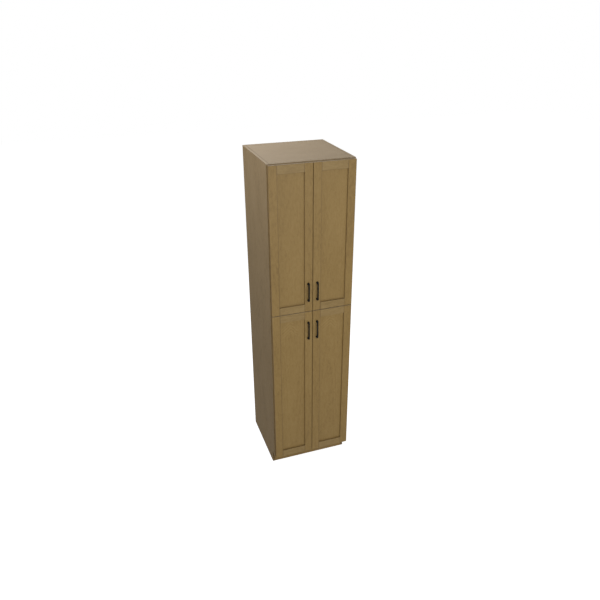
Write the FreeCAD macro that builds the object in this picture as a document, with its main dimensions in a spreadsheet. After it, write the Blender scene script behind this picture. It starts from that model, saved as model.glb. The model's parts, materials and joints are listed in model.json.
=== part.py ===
import FreeCAD, Part
import Sketcher
import math
import os

# Utility cabinet: a framed wooden case with four frame-and-panel doors on concealed cup hinges.
# Millimetres. +X is the cabinet's right, -Y its front, +Z up.
# The origin is on the floor, midway across and midway between the handles' fronts and the back.
# Everything left of the middle is modelled once, and its right-hand twin is mirrored from it.

doc = FreeCAD.newDocument("utility_cabinet")
sheet = doc.addObject("Spreadsheet::Sheet", "sizes")


class Size:
    """A length with its value and the spreadsheet expression that gives it."""

    def __init__(self, value, text):
        self.value = value
        self.text = text

    def __add__(self, other):
        return Size(self.value + other.value, f"({self.text} + {other.text})")

    def __sub__(self, other):
        return Size(self.value - other.value, f"({self.text} - {other.text})")

    def __mul__(self, factor):
        return Size(self.value * factor, f"({self.text} * {factor})")

    def __truediv__(self, divisor):
        return Size(self.value / divisor, f"({self.text} / {divisor})")

    def __neg__(self):
        return Size(-self.value, f"(0 - {self.text})")


def size(alias, value):
    """Write a driving size into the next row of the sheet."""
    driving_sizes[alias] = value
    row = len(driving_sizes)
    sheet.set(f"A{row}", alias)
    sheet.set(f"B{row}", str(value))
    sheet.setAlias(f"B{row}", alias)
    return Size(value, f"sizes.{alias}")


driving_sizes = {}
zero = Size(0.0, "0")

# Case
box_wide = size("box_wide", 609.6)
box_deep = size("box_deep", 609.6)
box_tall = size("box_tall", 2438.4)
board_thick = size("board_thick", 19.05)
back_thick = size("back_thick", 6.35)
rabbet_wide = size("rabbet_wide", 9.525)
dado_deep = size("dado_deep", 6.35)
kick_tall = size("kick_tall", 101.6)
kick_deep = size("kick_deep", 65.0)
toe_thick = size("toe_thick", 12.7)
hanging_tall = size("hanging_tall", 76.2)

# Front frame
frame_wide = size("frame_wide", 38.1)
frame_thick = size("frame_thick", 19.05)
split_tall = size("split_tall", 1370.0)

# Doors
side_reveal = size("side_reveal", 3.2)
top_reveal = size("top_reveal", 6.35)
bottom_reveal = size("bottom_reveal", 2.5)
door_gap = size("door_gap", 3.2)
bumper_gap = size("bumper_gap", 3.2)
door_thick = size("door_thick", 19.05)
stile_wide = size("stile_wide", 57.15)
rail_wide = size("rail_wide", 57.15)
panel_recess = size("panel_recess", 9.5)
panel_thick = size("panel_thick", 6.35)
panel_float = size("panel_float", 1.0)
groove_deep = size("groove_deep", 10.0)
joint_clearance = size("joint_clearance", 0.05)

# Shelves and their pins
shelf_clearance = size("shelf_clearance", 1.5)
shelf_setback = size("shelf_setback", 12.0)
pin_radius = size("pin_radius", 2.45)
pin_fit = size("pin_fit", 0.05)
pin_hole_deep = size("pin_hole_deep", 9.5)
pin_reach = size("pin_reach", 9.0)
pin_paddle_thick = size("pin_paddle_thick", 1.6)
pin_inset = size("pin_inset", 50.0)

# Handles: an arch of square bar whose two ends stand in round posts
handle_spacing = size("handle_spacing", 128.0)
handle_reach = size("handle_reach", 24.0)
handle_bar_thick = size("handle_bar_thick", 10.6)
handle_bend_radius = size("handle_bend_radius", 11.6)
foot_radius = size("foot_radius", 8.25)
foot_rise = size("foot_rise", 14.0)
handle_from_edge = size("handle_from_edge", 31.6)
handle_from_split = size("handle_from_split", 154.0)

# Concealed hinges
hinge_inset = size("hinge_inset", 90.0)
cup_radius = size("cup_radius", 17.5)
cup_deep = size("cup_deep", 13.5)
cup_edge = size("cup_edge", 3.5)
cup_wall = size("cup_wall", 0.8)
cup_fit = size("cup_fit", 0.05)
cup_plate_thick = size("cup_plate_thick", 1.2)
cup_plate_tall = size("cup_plate_tall", 58.0)
cup_plate_inner = size("cup_plate_inner", 16.0)
pivot_edge = size("pivot_edge", 7.6)
pivot_deep = size("pivot_deep", 9.5)
pivot_radius = size("pivot_radius", 1.2)
pivot_clearance = size("pivot_clearance", 0.05)
knuckle_half = size("knuckle_half", 2.0)
arm_wide = size("arm_wide", 8.0)
arm_thick = size("arm_thick", 1.5)
arm_side_play = size("arm_side_play", 0.3)
flange_tall = size("flange_tall", 38.0)
flange_margin = size("flange_margin", 1.2)
cheek_wide = size("cheek_wide", 3.0)
cheek_margin = size("cheek_margin", 0.4)

# Bumpers
bumper_wide = size("bumper_wide", 9.0)
bumper_play = size("bumper_play", 0.2)
bumper_inset = size("bumper_inset", 16.0)

# How far a cut runs past the face that it leaves through
overrun = size("overrun", 1.0)

# Places of the adjustable shelves as shares of the clear height of their compartment
lower_rise_shares = (1 / 3, 2 / 3)
upper_rise_shares = (1 / 2,)
# Places of a compartment's hinges between its first and its last hinge
three_hinge_shares = (0, 1 / 2, 1)
two_hinge_shares = (0, 1)

# Derived places
left_x = -box_wide / 2
inner_wide = box_wide - board_thick * 2
inner_x = left_x + board_thick
frame_y = (handle_reach + door_thick + bumper_gap - box_deep) / 2
inner_y = frame_y + frame_thick
back_y = frame_y + box_deep - back_thick
door_y = frame_y - bumper_gap
floor_z = kick_tall + frame_wide - board_thick
middle_z = split_tall + frame_wide / 2 - board_thick
top_z = box_tall - board_thick
opening_wide = box_wide - frame_wide * 2

door_wide = (box_wide - side_reveal * 2 - door_gap) / 2
groove_wide = panel_thick + joint_clearance * 2
groove_front_y = panel_recess - door_thick
groove_rear_y = groove_front_y + groove_wide
rail_length = door_wide - stile_wide * 2
door_x = left_x + side_reveal

handle_x = door_wide - handle_from_edge
half_spacing = handle_spacing / 2

cup_centre_x = cup_edge + cup_radius
cup_from_pin = cup_centre_x - pivot_edge
frame_edge_x = frame_wide - side_reveal - pivot_edge
frame_front_y = bumper_gap + pivot_deep

# Turns that lay a cylinder along an axis
along_x = FreeCAD.Rotation(FreeCAD.Vector(0, 1, 0), 90)
along_y = FreeCAD.Rotation(FreeCAD.Vector(1, 0, 0), -90)


def bind(piece, **bound):
    """Bind properties of a document object to the sheet."""
    for name, length in bound.items():
        piece.setExpression(name, length.text)


def place(piece, x, y, z):
    """Bind a piece's place to the sheet."""
    for axis, length in zip("xyz", (x, y, z)):
        piece.setExpression(f"Placement.Base.{axis}", length.text)


def box(label, corner, extent):
    """A plain board: its lower left front corner and its extent along X, Y and Z."""
    board = doc.addObject("Part::Box", label)
    board.Label = label
    bind(board, Length=extent[0], Width=extent[1], Height=extent[2])
    place(board, *corner)
    return board


def rod(label, radius, length, centre, turn):
    """A cylinder that starts at a point and runs along +Z before it is turned."""
    cylinder = doc.addObject("Part::Cylinder", label)
    cylinder.Label = label
    bind(cylinder, Radius=radius, Height=length)
    cylinder.Placement.Rotation = turn
    place(cylinder, *centre)
    return cylinder


def join(label, pieces):
    """One solid made of several primitives."""
    union = doc.addObject("Part::MultiFuse", label)
    union.Label = label
    union.Shapes = pieces
    union.Refine = True
    return union


def cut(label, base, tool):
    """One solid less another."""
    result = doc.addObject("Part::Cut", label)
    result.Label = label
    result.Base = base
    result.Tool = tool
    return result


def group(label, pieces):
    """Separate solids of the same kind in one node."""
    compound = doc.addObject("Part::Compound", label)
    compound.Label = label
    compound.Links = pieces
    return compound


def copy_of(master, name, x, y, z):
    """A linked copy of a master piece at a place of its own."""
    link = doc.addObject("App::Link", name)
    link.LinkedObject = master
    place(link, x, y, z)
    return link


def mirrored(label, left_piece):
    """The right-hand twin of a left-hand piece."""
    twin = doc.addObject("Part::Mirroring", label)
    twin.Label = label
    twin.Source = left_piece
    twin.Normal = FreeCAD.Vector(1, 0, 0)
    return twin


def new_body(label):
    """An empty body with a label of its own."""
    body = doc.addObject("PartDesign::Body", label)
    body.Label = label
    return body


def origin_part(body, role):
    """An origin plane or axis of a body."""
    return next(f for f in body.Origin.OriginFeatures if f.Role == role)


def new_sketch(body, name, role, offset=zero):
    """A sketch on an origin plane of its own body, or parallel to it."""
    sketch = body.newObject("Sketcher::SketchObject", name)
    sketch.AttachmentSupport = [(origin_part(body, role), "")]
    sketch.MapMode = "FlatFace"
    sketch.setExpression("AttachmentOffset.Base.z", offset.text)
    return sketch


def pin_point(sketch, geometry, vertex, point):
    """Hold a vertex of a sketch at a distance from the sketch's origin along both axes."""
    for kind, length in zip(("DistanceX", "DistanceY"), point):
        held = Sketcher.Constraint(kind, -1, 1, geometry, vertex, length.value)
        index = sketch.addConstraint(held)
        sketch.setExpression(f"Constraints[{index}]", length.text)


def flat_point(point):
    """The vector of a sketch point."""
    return FreeCAD.Vector(point[0].value, point[1].value, 0)


def outline(sketch, points):
    """A closed outline of straight edges through points that the sheet holds."""
    first = sketch.GeometryCount
    count = len(points)
    for index in range(count):
        start = flat_point(points[index])
        end = flat_point(points[(index + 1) % count])
        sketch.addGeometry(Part.LineSegment(start, end))
    for index in range(count):
        following = first + (index + 1) % count
        sketch.addConstraint(Sketcher.Constraint("Coincident", first + index, 2, following, 1))
        pin_point(sketch, first + index, 1, points[index])


def circle(sketch, point, radius):
    """A circle whose centre and radius the sheet holds."""
    ring = Part.Circle(flat_point(point), FreeCAD.Vector(0, 0, 1), radius.value)
    geometry = sketch.addGeometry(ring)
    pin_point(sketch, geometry, 3, point)
    index = sketch.addConstraint(Sketcher.Constraint("Radius", geometry, radius.value))
    sketch.setExpression(f"Constraints[{index}]", radius.text)


def rectangle(sketch, low, high):
    """An upright rectangle between two corners."""
    outline(sketch, [low, (high[0], low[1]), high, (low[0], high[1])])


def pad(body, name, sketch, length, side="One side", reverse=False):
    """Material grown from a sketch."""
    feature = body.newObject("PartDesign::Pad", name)
    feature.Profile = sketch
    feature.SideType = side
    feature.Reversed = reverse
    bind(feature, Length=length)
    return feature


def pocket(body, name, sketch, length, side="One side", reverse=False):
    """Material cut away from a sketch."""
    feature = body.newObject("PartDesign::Pocket", name)
    feature.Profile = sketch
    feature.SideType = side
    feature.Reversed = reverse
    bind(feature, Length=length)
    return feature


# Heights of the adjustable shelves' undersides, compartment by compartment
compartments = (
    (floor_z + board_thick, middle_z, lower_rise_shares),
    (middle_z + board_thick, top_z, upper_rise_shares),
)
shelf_heights = []
for low_z, high_z, rise_shares in compartments:
    for share in rise_shares:
        shelf_heights.append(low_z + (high_z - low_z) * share)

# Where the pins stand from front to back, measured from the front of the frame
shelf_front = frame_thick + shelf_setback
shelf_back = box_deep - back_thick - shelf_clearance * 2
pin_columns = (shelf_front + pin_inset, shelf_back - pin_inset)
pin_drop = pin_radius + pin_fit

# Side panel: notched for the toe space, rabbeted for the back, housed for the two fixed
# boards, and bored for the shelf pins. Its own origin is at the floor, on its outer face and
# in line with the front of the frame.
side = new_body("left_side_panel")
place(side, left_x, frame_y, zero)
side_outline = new_sketch(side, "side_outline", "YZ_Plane")
outline(side_outline, [
    (frame_thick, kick_tall),
    (kick_deep, kick_tall),
    (kick_deep, zero),
    (box_deep, zero),
    (box_deep, box_tall),
    (frame_thick, box_tall),
])
pad(side, "side_board", side_outline, board_thick)

side_rabbet = new_sketch(side, "side_rabbet", "YZ_Plane", board_thick)
rectangle(
    side_rabbet,
    (box_deep - back_thick, -overrun),
    (box_deep + overrun, box_tall + overrun),
)
pocket(side, "back_rabbet", side_rabbet, rabbet_wide)

side_dados = new_sketch(side, "side_dados", "YZ_Plane", board_thick)
for board_z in (floor_z, middle_z):
    rectangle(
        side_dados,
        (frame_thick - overrun, board_z),
        (box_deep - back_thick, board_z + board_thick),
    )
pocket(side, "board_dados", side_dados, dado_deep)

side_holes = new_sketch(side, "side_holes", "YZ_Plane", board_thick)
for shelf_z in shelf_heights:
    for column in pin_columns:
        circle(side_holes, (column, shelf_z - pin_drop), pin_drop)
pocket(side, "pin_holes", side_holes, pin_hole_deep)

# Fixed boards of the case
box_depth_inside = back_y - inner_y
housed_x = inner_x - dado_deep
housed_wide = inner_wide + dado_deep * 2
case_boards = [
    box("top_panel", (inner_x, inner_y, top_z), (inner_wide, box_depth_inside, board_thick)),
    box(
        "bottom_panel",
        (housed_x, inner_y, floor_z),
        (housed_wide, box_depth_inside, board_thick),
    ),
    box(
        "fixed_middle_shelf",
        (housed_x, inner_y, middle_z),
        (housed_wide, box_depth_inside, board_thick),
    ),
    box(
        "back_panel",
        (inner_x - rabbet_wide, back_y, zero),
        (inner_wide + rabbet_wide * 2, back_thick, box_tall),
    ),
    box(
        "toe_board",
        (inner_x, frame_y + kick_deep, zero),
        (inner_wide, toe_thick, floor_z),
    ),
    box(
        "upper_hanging_rail",
        (inner_x, back_y - board_thick, top_z - hanging_tall),
        (inner_wide, board_thick, hanging_tall),
    ),
    box(
        "middle_hanging_rail",
        (inner_x, back_y - board_thick, middle_z - hanging_tall),
        (inner_wide, board_thick, hanging_tall),
    ),
]

# Adjustable shelves, and the pins that carry them: a round peg in the side panel under a
# flat paddle
pin_peg = rod(
    "pin_peg",
    pin_radius,
    pin_hole_deep + pin_reach,
    (-pin_hole_deep, zero, -pin_drop),
    along_x,
)
pin_paddle = box(
    "pin_paddle",
    (zero, -pin_radius, -pin_paddle_thick),
    (pin_reach, pin_radius * 2, pin_paddle_thick),
)
shelf_pin = join("shelf_pin", [pin_peg, pin_paddle])

adjustable_shelves = []
left_pins = []
for number, shelf_z in enumerate(shelf_heights, start=1):
    adjustable_shelves.append(box(
        f"adjustable_shelf_{number}",
        (inner_x + shelf_clearance, frame_y + shelf_front, shelf_z),
        (inner_wide - shelf_clearance * 2, shelf_back - shelf_front, board_thick),
    ))
    for column in pin_columns:
        pin_name = f"pin_{number}_{len(left_pins)}"
        left_pins.append(copy_of(shelf_pin, pin_name, inner_x, frame_y + column, shelf_z))
left_shelf_pins = group("left_shelf_pins", left_pins)
right_shelf_pins = mirrored("right_shelf_pins", left_shelf_pins)
shelf_pins = group("shelf_pins", [left_shelf_pins, right_shelf_pins])

# Concealed hinge, left-hand, about its pin: origin on the pin's axis midway up the hinge,
# +X into the door, +Y to the case.
# Arm: a knuckle round the pin, a strip along the bottom of the cup, a bend out of the cup's
# mouth and a flange against the inner edge of the frame stile.
arm = new_body("hinge_arm")
flange_end_y = frame_front_y + frame_thick - flange_margin
arm_strip_outline = new_sketch(arm, "arm_strip_outline", "XY_Plane")
outline(arm_strip_outline, [
    (-knuckle_half, -knuckle_half),
    (frame_edge_x + arm_thick, -knuckle_half),
    (frame_edge_x + arm_thick, flange_end_y),
    (frame_edge_x, flange_end_y),
    (frame_edge_x, arm_thick - knuckle_half),
    (knuckle_half, arm_thick - knuckle_half),
    (knuckle_half, knuckle_half),
    (-knuckle_half, knuckle_half),
])
pad(arm, "arm_strip", arm_strip_outline, arm_wide, "Symmetric")
flange_outline = new_sketch(arm, "flange_outline", "YZ_Plane", frame_edge_x)
rectangle(
    flange_outline,
    (frame_front_y + flange_margin, -flange_tall / 2),
    (flange_end_y, flange_tall / 2),
)
pad(arm, "arm_flange", flange_outline, arm_thick)
arm_bore_outline = new_sketch(arm, "arm_bore_outline", "XY_Plane")
circle(arm_bore_outline, (zero, zero), pivot_radius + pivot_clearance)
pocket(arm, "arm_bore", arm_bore_outline, arm_wide + overrun * 2, "Symmetric")

# Cup: a drawn cup in the door's bore with a plate on the door's back face, and inside it two
# cheeks with the pin riveted between them. Origin on the pin's axis, as the arm's.
cup_bottom_y = pivot_deep - cup_deep + cup_fit
cup_full_height = cup_deep - cup_fit + cup_plate_thick
cup_shell = rod(
    "cup_shell",
    cup_radius - cup_fit,
    cup_full_height,
    (cup_from_pin, cup_bottom_y, zero),
    along_y,
)
cup_plate = box(
    "cup_plate",
    (cup_from_pin, pivot_deep, -cup_plate_tall / 2),
    (cup_plate_inner, cup_plate_thick, cup_plate_tall),
)
cup_hollow = rod(
    "cup_hollow",
    cup_radius - cup_wall,
    cup_full_height + overrun,
    (cup_from_pin, cup_bottom_y + cup_wall, zero),
    along_y,
)
cup_open = cut("cup_open", join("cup_block", [cup_shell, cup_plate]), cup_hollow)
cheek_half = pivot_radius + cheek_margin
cheek_y = cup_bottom_y + cup_wall / 2
cheek_inner_z = arm_wide / 2 + arm_side_play
cheek_extent = (cheek_half * 2, cheek_half - cheek_y, cheek_wide)
upper_cheek = box("upper_cheek", (-cheek_half, cheek_y, cheek_inner_z), cheek_extent)
lower_cheek = box(
    "lower_cheek",
    (-cheek_half, cheek_y, -(cheek_inner_z + cheek_wide)),
    cheek_extent,
)
hinge_pin = doc.addObject("Part::Cylinder", "hinge_pin")
pin_half = cheek_inner_z + cheek_wide / 2
bind(hinge_pin, Radius=pivot_radius, Height=pin_half * 2)
place(hinge_pin, zero, zero, -pin_half)
hinge_cup = join("hinge_cup", [cup_open, upper_cheek, lower_cheek, hinge_pin])

# Handle: origin midway along it on the door's front face. The grip is one arch, which leaves
# each foot square to the door and bends over into the straight bar.
handle = new_body("handle_pull")
half_bar = handle_bar_thick / 2
outer_z = half_spacing + half_bar
inner_z = half_spacing - half_bar
outer_y = -handle_reach
inner_y_of_bar = handle_bar_thick - handle_reach
inner_bend_radius = handle_bend_radius - handle_bar_thick
arch = new_sketch(handle, "arch", "YZ_Plane")
bend_centres = []
for turn in (-1, 1):
    bend_centres.append((handle_bend_radius - handle_reach, (outer_z - handle_bend_radius) * turn))
low_centre, high_centre = bend_centres


def straight_run(start, end):
    """A straight edge of the arch, with both its ends held."""
    run = arch.addGeometry(Part.LineSegment(flat_point(start), flat_point(end)))
    pin_point(arch, run, 1, start)
    pin_point(arch, run, 2, end)
    return run


low_out = straight_run((zero, -outer_z), (low_centre[0], -outer_z))
bar_out = straight_run((outer_y, low_centre[1]), (outer_y, high_centre[1]))
high_out = straight_run((high_centre[0], outer_z), (zero, outer_z))
straight_run((zero, outer_z), (zero, inner_z))
high_in = straight_run((zero, inner_z), (high_centre[0], inner_z))
bar_in = straight_run((inner_y_of_bar, high_centre[1]), (inner_y_of_bar, low_centre[1]))
low_in = straight_run((low_centre[0], -inner_z), (zero, -inner_z))
straight_run((zero, -inner_z), (zero, -outer_z))

# Each bend turns a quarter circle from its start angle, between the edges that it joins
quarter = math.pi / 2
arch_bends = (
    (low_centre, handle_bend_radius, quarter * 2, bar_out, low_out, True),
    (high_centre, handle_bend_radius, quarter, high_out, bar_out, True),
    (high_centre, inner_bend_radius, quarter, high_in, bar_in, False),
    (low_centre, inner_bend_radius, quarter * 2, bar_in, low_in, False),
)
for centre, radius, start_angle, start_run, end_run, outer in arch_bends:
    full = Part.Circle(flat_point(centre), FreeCAD.Vector(0, 0, 1), radius.value)
    bend = arch.addGeometry(Part.ArcOfCircle(full, start_angle, start_angle + quarter))
    start_end, end_end = (1, 2) if outer else (2, 1)
    arch.addConstraint(Sketcher.Constraint("Coincident", bend, 1, start_run, start_end))
    arch.addConstraint(Sketcher.Constraint("Coincident", bend, 2, end_run, end_end))
    index = arch.addConstraint(Sketcher.Constraint("Radius", bend, radius.value))
    arch.setExpression(f"Constraints[{index}]", radius.text)
pad(handle, "handle_arch", arch, handle_bar_thick, "Symmetric")

# Each foot is a round post on the door that holds an end of the arch
foot_outline = new_sketch(handle, "foot_outline", "XZ_Plane")
for foot_z in (-half_spacing, half_spacing):
    circle(foot_outline, (zero, foot_z), foot_radius)
pad(handle, "handle_feet", foot_outline, foot_rise)


def stile(label, x, z, tall, grooved_right):
    """A door stile with a groove along its inner edge; its origin is at its back face."""
    board = new_body(label)
    place(board, x, door_y, z)
    section = new_sketch(board, f"{label}_section", "XY_Plane")
    inner = stile_wide if grooved_right else zero
    outer = zero if grooved_right else stile_wide
    bottom = stile_wide - groove_deep if grooved_right else groove_deep
    outline(section, [
        (outer, zero),
        (inner, zero),
        (inner, groove_rear_y),
        (bottom, groove_rear_y),
        (bottom, groove_front_y),
        (inner, groove_front_y),
        (inner, -door_thick),
        (outer, -door_thick),
    ])
    pad(board, f"{label}_length", section, tall)
    return board


def rail(label, z, grooved_top):
    """A door rail with a groove along its inner edge and a stub tenon at each end."""
    board = new_body(label)
    place(board, door_x + stile_wide, door_y, z)
    inner = rail_wide if grooved_top else zero
    outer = zero if grooved_top else rail_wide
    bottom = rail_wide - groove_deep if grooved_top else groove_deep
    section = new_sketch(board, f"{label}_section", "YZ_Plane")
    outline(section, [
        (zero, outer),
        (zero, inner),
        (groove_rear_y, inner),
        (groove_rear_y, bottom),
        (groove_front_y, bottom),
        (groove_front_y, inner),
        (-door_thick, inner),
        (-door_thick, outer),
    ])
    pad(board, f"{label}_length", section, rail_length)
    tenon_length = groove_deep - joint_clearance
    tenon = new_sketch(board, f"{label}_tenon_section", "YZ_Plane", -tenon_length)
    rectangle(
        tenon,
        (groove_front_y + joint_clearance, outer),
        (groove_rear_y - joint_clearance, bottom),
    )
    pad(board, f"{label}_tenons", tenon, rail_length + tenon_length * 2)
    return board


def left_door(name, low, high, hinge_places, handle_z):
    """All the pieces of one left-hand door, in a list."""
    tall = high - low
    meeting_x = door_x + door_wide - stile_wide
    hinge_stile = stile(f"{name}_hinge_stile", door_x, low, tall, True)
    bores = new_sketch(hinge_stile, f"{name}_bores", "XZ_Plane")
    for hinge_z in hinge_places:
        circle(bores, (cup_centre_x, hinge_z - low), cup_radius)
    pocket(hinge_stile, f"{name}_cup_bores", bores, cup_deep, reverse=True)

    meeting_stile = stile(f"{name}_meeting_stile", meeting_x, low, tall, False)

    panel_edge = groove_deep - panel_float
    panel = box(
        f"{name}_panel",
        (
            door_x + stile_wide - panel_edge,
            door_y + groove_front_y + joint_clearance,
            low + rail_wide - panel_edge,
        ),
        (rail_length + panel_edge * 2, panel_thick, tall - (rail_wide - panel_edge) * 2),
    )
    cups = []
    for number, hinge_z in enumerate(hinge_places, start=1):
        cup_place = (door_x + pivot_edge, door_y - pivot_deep, hinge_z)
        cups.append(copy_of(hinge_cup, f"{name}_cup_{number}", *cup_place))
    handle_place = (door_x + handle_x, door_y - door_thick, handle_z)
    return [
        hinge_stile,
        meeting_stile,
        rail(f"{name}_top_rail", high - rail_wide, False),
        rail(f"{name}_bottom_rail", low, True),
        panel,
        group(f"{name}_handle", [copy_of(handle, f"{name}_pull", *handle_place)]),
        group(f"{name}_hinge_cups", cups),
    ]


def hinge_heights(low, high, shares):
    """Heights of a door's hinges between its two end hinges."""
    first = low + hinge_inset
    last = high - hinge_inset
    return [first + (last - first) * share for share in shares]


# Doors: the lower pair and the upper pair meet at the split
lower_door = (kick_tall + bottom_reveal, split_tall - door_gap / 2)
upper_door = (split_tall + door_gap / 2, box_tall - top_reveal)
lower_hinges = hinge_heights(*lower_door, three_hinge_shares)
upper_hinges = hinge_heights(*upper_door, two_hinge_shares)
left_door_pieces = (
    left_door("lower_left_door", *lower_door, lower_hinges, split_tall - handle_from_split)
    + left_door("upper_left_door", *upper_door, upper_hinges, split_tall + handle_from_split)
)

# Front frame: two stiles and three rails between them
frame_stile = box(
    "left_frame_stile",
    (left_x, frame_y, kick_tall),
    (frame_wide, frame_thick, box_tall - kick_tall),
)

frame_rails = []
for rail_name, rail_z in (
    ("frame_bottom_rail", kick_tall),
    ("frame_middle_rail", split_tall - frame_wide / 2),
    ("frame_top_rail", box_tall - frame_wide),
):
    frame_rails.append(box(
        rail_name,
        (left_x + frame_wide, frame_y, rail_z),
        (opening_wide, frame_thick, frame_wide),
    ))

# Hinge arms on the frame
arms = []
for number, hinge_z in enumerate(lower_hinges + upper_hinges, start=1):
    arm_place = (door_x + pivot_edge, door_y - pivot_deep, hinge_z)
    arms.append(copy_of(arm, f"arm_{number}", *arm_place))
left_arms = group("left_hinge_arms", arms)

# Bumpers: on the frame's rails, behind the meeting corners of the doors
bumper_heights = (
    (lower_door[0] + kick_tall + frame_wide) / 2,
    (split_tall - frame_wide / 2 + lower_door[1]) / 2,
    (upper_door[0] + split_tall + frame_wide / 2) / 2,
    (box_tall - frame_wide + upper_door[1]) / 2,
)
bumper_thick = bumper_gap - bumper_play
bumper_half = bumper_wide / 2
bumper_x = door_gap / 2 + bumper_inset
bumpers = []
for x in (-bumper_x, bumper_x):
    for bumper_z in bumper_heights:
        bumpers.append(box(
            f"bumper_{len(bumpers) + 1}",
            (x - bumper_half, frame_y - bumper_thick, bumper_z - bumper_half),
            (bumper_wide, bumper_thick, bumper_wide),
        ))

# Every node of the cabinet: the pieces on the centre line and the mirrored pairs
left_nodes = [side, frame_stile, left_arms] + left_door_pieces
right_nodes = []
for left_node in left_nodes:
    right_nodes.append(mirrored(left_node.Label.replace("left", "right"), left_node))
nodes = (
    case_boards
    + frame_rails
    + adjustable_shelves
    + [shelf_pins, group("door_bumpers", bumpers)]
    + left_nodes
    + right_nodes
)

doc.recompute()

# Nothing is written unless every object is sound and every cut has removed material
for item in doc.Objects:
    for state in ("Invalid", "Error"):
        if state in item.State:
            raise RuntimeError(f"{item.Label} is {state}")
    if item.TypeId == "PartDesign::Pocket":
        if item.Shape.Volume >= item.BaseFeature.Shape.Volume:
            raise RuntimeError(f"{item.Label} cuts nothing")

os.makedirs("parts", exist_ok=True)
for node in nodes:
    if node.Shape.isNull() or not node.Shape.isValid():
        raise RuntimeError(f"{node.Label} has no valid shape")
for node in nodes:
    node.Shape.exportStep(f"parts/{node.Label}.step")
print(len(nodes), "nodes written")
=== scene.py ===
import json
import math
import random

import bmesh
import bpy
from mathutils import Matrix, Vector

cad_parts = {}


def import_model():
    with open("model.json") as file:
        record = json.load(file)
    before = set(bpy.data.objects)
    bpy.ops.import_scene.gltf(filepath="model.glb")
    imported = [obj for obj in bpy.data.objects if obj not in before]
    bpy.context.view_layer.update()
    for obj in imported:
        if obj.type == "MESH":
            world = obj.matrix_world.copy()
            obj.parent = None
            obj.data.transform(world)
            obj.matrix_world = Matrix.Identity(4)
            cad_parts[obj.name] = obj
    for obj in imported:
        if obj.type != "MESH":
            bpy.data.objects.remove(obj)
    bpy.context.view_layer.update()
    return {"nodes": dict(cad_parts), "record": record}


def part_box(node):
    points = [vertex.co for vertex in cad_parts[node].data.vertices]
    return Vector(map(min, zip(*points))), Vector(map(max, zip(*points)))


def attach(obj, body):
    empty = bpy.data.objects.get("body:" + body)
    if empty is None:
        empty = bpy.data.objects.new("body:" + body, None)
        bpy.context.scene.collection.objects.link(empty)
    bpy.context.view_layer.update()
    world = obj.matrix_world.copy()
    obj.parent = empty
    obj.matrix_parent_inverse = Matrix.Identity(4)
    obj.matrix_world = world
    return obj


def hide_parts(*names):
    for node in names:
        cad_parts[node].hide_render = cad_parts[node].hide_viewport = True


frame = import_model()
random.seed(7)

MM = 0.001
X, Y, Z = 0, 1, 2
UNIT = (Vector((1, 0, 0)), Vector((0, 1, 0)), Vector((0, 0, 1)))
WHITE = (1.0, 1.0, 1.0, 1.0)
NODES = frame["nodes"]
BODIES = frame["record"]["behaviour"]["bodies"]
BODY_OF = {node: body for body, held in BODIES.items() for node in held}
SLOT_OF = {part["node"]: part["material_slot"] for part in frame["record"]["subparts"]}
DOORS = ("upper_left_door", "upper_right_door", "lower_left_door", "lower_right_door")


# Node trees

class Tree:
    """A node tree, with short ways to add nodes and link them."""

    def __init__(self, node_tree):
        self.nodes = node_tree.nodes
        self.links = node_tree.links

    def put(self, socket, value):
        """Link a socket to another node's output, or set its value."""
        if isinstance(value, bpy.types.NodeSocket):
            self.links.new(value, socket)
        else:
            socket.default_value = value

    def node(self, kind, **inputs):
        """Add a node. Its inputs are given by name, with underscores for the spaces."""
        made = self.nodes.new(kind)
        for key, value in inputs.items():
            self.put(made.inputs[key.replace("_", " ")], value)
        return made

    def joined(self, kind, *inputs):
        """The first output of a new node whose inputs are given in their order."""
        made = self.nodes.new(kind)
        for socket, value in zip(made.inputs, inputs):
            self.put(socket, value)
        return made.outputs[0]

    def math(self, operation, first, second=0.0):
        made = self.nodes.new("ShaderNodeMath")
        made.operation = operation
        self.put(made.inputs[0], first)
        self.put(made.inputs[1], second)
        return made.outputs[0]

    def plus(self, first, second):
        return self.math("ADD", first, second)

    def minus(self, first, second):
        return self.math("SUBTRACT", first, second)

    def times(self, first, second):
        return self.math("MULTIPLY", first, second)

    def seen_directly(self):
        """1 for the camera's rays, reflections and what is seen through clear things, else 0."""
        path = self.node("ShaderNodeLightPath").outputs
        seen = self.math("MAXIMUM", path["Is Camera Ray"], path["Is Glossy Ray"])
        return self.math("MAXIMUM", seen, path["Is Transmission Ray"])


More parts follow.
